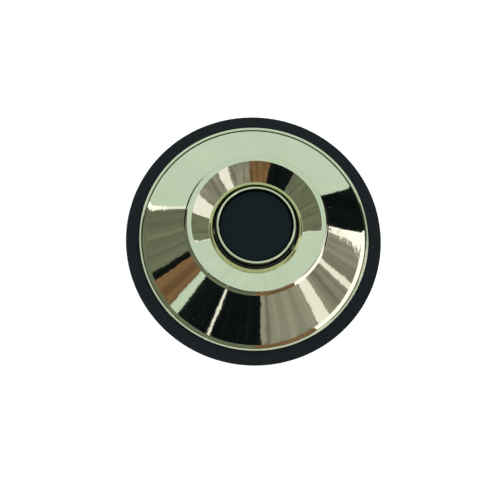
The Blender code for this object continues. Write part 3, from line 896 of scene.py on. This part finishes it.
def cards(name, inner, outer, places):
    """
    A ring of cards round the mute that only its plating mirrors. inner and outer are the ring's
    edges (radius, height). Each place is (first, last, material) in degrees, clockwise from the
    right as the camera sees it, and the white studio shows between two cards that don't meet.
    """
    bm = bmesh.new()
    materials = []
    for first, last, material in places:
        if material not in materials:
            materials.append(material)
        count = math.ceil((last - first) / CARD_STEP)
        edges = []
        for step in range(count + 1):
            turn = -math.radians(first + (last - first) * step / count)
            edges.append(
                [
                    bm.verts.new((radius * math.cos(turn), radius * math.sin(turn), height))
                    for radius, height in (inner, outer)
                ]
            )
        for before, after in zip(edges, edges[1:]):
            face = bm.faces.new((*before, *reversed(after)))
            face.material_index = materials.index(material)
    mesh = bpy.data.meshes.new(name)
    bm.to_mesh(mesh)
    bm.free()
    for material in materials:
        mesh.materials.append(material)
    obj = link(bpy.data.objects.new(name, mesh))
    obj.visible_camera = False
    obj.visible_diffuse = False
    obj.visible_shadow = False


def world():
    """White to the camera and in the plating, and a soft even light on everything else."""
    studio = bpy.data.worlds.new("studio")
    bpy.context.scene.world = studio
    studio.use_nodes = True
    tree = studio.node_tree
    soft = tree.nodes["Background"]
    soft.inputs["Color"].default_value = (0.95, 0.98, 1.0, 1.0)
    soft.inputs["Strength"].default_value = SOFT_LIGHT
    white = tree.nodes.new("ShaderNodeBackground")
    white.inputs["Color"].default_value = (1.0, 1.0, 1.0, 1.0)
    white.inputs["Strength"].default_value = 1.0
    seen = tree.nodes.new("ShaderNodeMixShader")
    tree.links.new(background_rays(tree), seen.inputs["Fac"])
    tree.links.new(soft.outputs["Background"], seen.inputs[1])
    tree.links.new(white.outputs["Background"], seen.inputs[2])
    tree.links.new(seen.outputs["Shader"], tree.nodes["World Output"].inputs["Surface"])


def lamp(name, place, size, power):
    """A large soft lamp that looks at the mute."""
    data = bpy.data.lights.new(name, "AREA")
    data.energy = power
    data.size = size
    obj = link(bpy.data.objects.new(name, data))
    obj.location = place
    aim = Vector((0.0, 0.0, 0.04)) - Vector(place)
    obj.rotation_euler = aim.to_track_quat("-Z", "Y").to_euler()
    obj.visible_camera = False
    obj.visible_glossy = False


def camera():
    """The photograph's view: almost down the axis, from a little below it in the frame."""
    data = bpy.data.cameras.new("camera")
    data.lens = LENS
    data.sensor_width = SENSOR
    obj = link(bpy.data.objects.new("camera", data))
    lean = Vector((*CAMERA_SIDE, 0.0)).normalized()
    back = lean * math.sin(CAMERA_TILT) + Vector((0.0, 0.0, 1.0)) * math.cos(CAMERA_TILT)
    right = Vector((1.0, 0.0, 0.0))
    right = (right - back * right.dot(back)).normalized()
    up = back.cross(right)
    pixel = CAMERA_DISTANCE * SENSOR / LENS / FRAME
    obj.location = Vector((0.0, 0.0, RIM_TOP)) + back * CAMERA_DISTANCE
    obj.location -= right * (FRAME_RIGHT * pixel) + up * (FRAME_UP * pixel)
    obj.rotation_mode = "QUATERNION"
    obj.rotation_quaternion = Matrix((right, up, back)).transposed().to_quaternion()
    bpy.context.scene.camera = obj


# Camera: the mute stands a few pixels right of the frame's middle and above it
LENS = 60.6
SENSOR = 36.0
FRAME = 480
CAMERA_DISTANCE = 0.350
CAMERA_TILT = math.radians(13.5)
CAMERA_SIDE = (-0.122, -0.993)
FRAME_RIGHT = 14.2
FRAME_UP = 4.4

FLOOR_RADIUS = 0.36
FLOOR_LEVEL = -0.0002
FLOOR_LIFT = 0.62
SOFT_LIGHT = 0.85

# The room that the plating mirrors: things stand round the table with bright gaps between them
CARD_STEP = 4
CARD_GRAIN = (14.0, 14.0, 3.0)
ROOM_RADIUS = 1.0
PALE = card_material("pale_board", srgb(205, 225, 215), 0.05)
OLIVE = card_material("olive_board", srgb(110, 118, 100), 0.25)
GREY = card_material("grey_board", srgb(140, 140, 130), 0.40)
WOOD = card_material("wood_board", srgb(125, 98, 72), 0.35)
DARK = card_material("dark_cloth", srgb(16, 22, 24), 0.50)

floor()
cards(
    "cards_on_table",
    (0.085, 0.001),
    (FLOOR_RADIUS, 0.001),
    (
        (50, 88, WOOD),
        (88, 205, OLIVE),
        (208, 325, PALE),
        (325, 348, DARK),
    ),
)
cards(
    "things_behind_table",
    (ROOM_RADIUS, -0.30),
    (ROOM_RADIUS, 0.27),
    (
        (-8, 15, GREY),
        (19, 37, GREY),
        (46, 84, GREY),
        (84, 117, DARK),
        (119, 141, DARK),
        (141, 148, PALE),
        (148, 165, WOOD),
        (165, 170, DARK),
        (170, 207, OLIVE),
        (209, 325, PALE),
        (326, 350, DARK),
    ),
)
cards(
    "walls",
    (ROOM_RADIUS, 0.27),
    (ROOM_RADIUS, 1.2),
    (
        (9, 39, GREY),
        (51, 78, GREY),
        (78, 104, WOOD),
        (104, 136, DARK),
        (136, 205, OLIVE),
        (206, 328, PALE),
        (329, 352, OLIVE),
    ),
)
cards("ceiling", (0.02, 1.2), (ROOM_RADIUS, 1.2), ((0, 360, PALE),))
world()
lamp("key", (0.25, -0.15, 0.7), 0.5, 4.0)
lamp("fill", (-0.45, 0.3, 0.5), 0.6, 2.0)
camera()
bpy.context.scene.view_settings.view_transform = "Standard"
